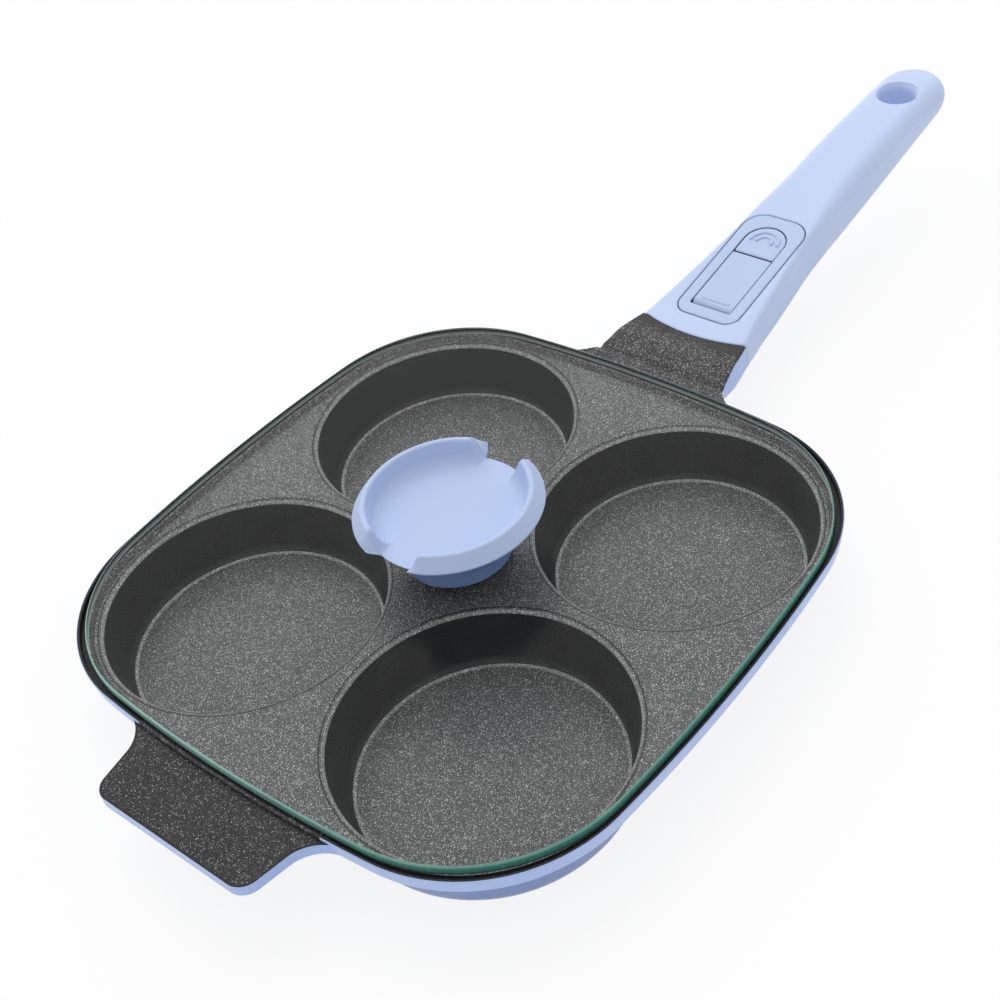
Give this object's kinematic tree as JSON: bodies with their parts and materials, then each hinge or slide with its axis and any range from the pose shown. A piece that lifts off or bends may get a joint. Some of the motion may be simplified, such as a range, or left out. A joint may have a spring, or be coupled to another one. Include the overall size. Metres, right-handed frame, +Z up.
{
  "type": "four-cup pancake pan",
  "caption": "Square cast pan with round cups, flat glass lid with a dish-shaped knob, helper lip and a take-off handle released by a cam lever and a thumb button.",
  "frame": {"origin": "centre of the bounding box in plan, at the level of the cup bases the pan stands on", "axes": "+X along the handle away from the pan, +Z up, +Y to the left when looking along +X"},
  "size_m": [0.4772, 0.2284, 0.056],
  "materials": {
    "coating": "cast aluminium, speckled dark nonstick inside and pale blue paint outside",
    "glass": "clear tempered glass, pale green edge",
    "knob_blue": "satin",
    "handle_blue": "soft satin",
    "steel": "plain",
    "brass": "plain",
    "silicone": "matte",
    "inner_plastic": "moulded"
  },
  "bodies": {
    "pan": {"pan_casting": "coating", "tongue_plate": "steel", "tongue_rivet_left": "steel", "tongue_rivet_right": "steel"},
    "lid": {"glass_lid": "glass", "knob_dish": "knob_blue", "knob_neck": "knob_blue", "knob_insert": "brass", "knob_screw": "steel", "knob_washer": "steel", "knob_gasket_lower": "silicone", "knob_gasket_upper": "silicone"},
    "handle": {"handle_shell": "handle_blue", "latch_panel": "handle_blue", "latch_chassis": "inner_plastic", "lever_pin": "steel", "chassis_screw_1": "steel", "chassis_screw_2": "steel", "chassis_screw_3": "steel", "chassis_screw_4": "steel", "clamp_spring_left": "steel", "clamp_spring_right": "steel", "button_spring": "steel"},
    "lever": {"release_lever": "handle_blue"},
    "clamp": {"clamp_shoe": "steel"},
    "button": {"thumb_button": "handle_blue"}
  },
  "joints": [
    {"name": "lid_lift", "type": "slide", "parent": "pan", "child": "lid", "axis": [0, 0, 1], "range_m": [0, 0.08]},
    {"name": "handle_pull", "type": "slide", "parent": "pan", "child": "handle", "axis": [1, 0, 0], "range_m": [0, 0.06]},
    {"name": "lever_flip", "type": "hinge", "parent": "handle", "child": "lever", "pos_m": [0.06177, 0, 0.02834], "axis": [0, -1, 0], "range_deg": [0, 60]},
    {"name": "clamp_lift", "type": "slide", "parent": "handle", "child": "clamp", "axis": [0, 0, 1], "range_m": [0, 0.0009], "deforming": ["clamp_spring_left", "clamp_spring_right"]},
    {"name": "button_press", "type": "slide", "parent": "handle", "child": "button", "axis": [0.1582, 0, -0.9874], "range_m": [0, 0.0025], "stiffness_N_per_m": 600, "deforming": ["button_spring"]}
  ],
  "couplings": [
    {"joint": "lever_flip", "follows": "clamp_lift", "rad_per_m": 1163.5}
  ]
}
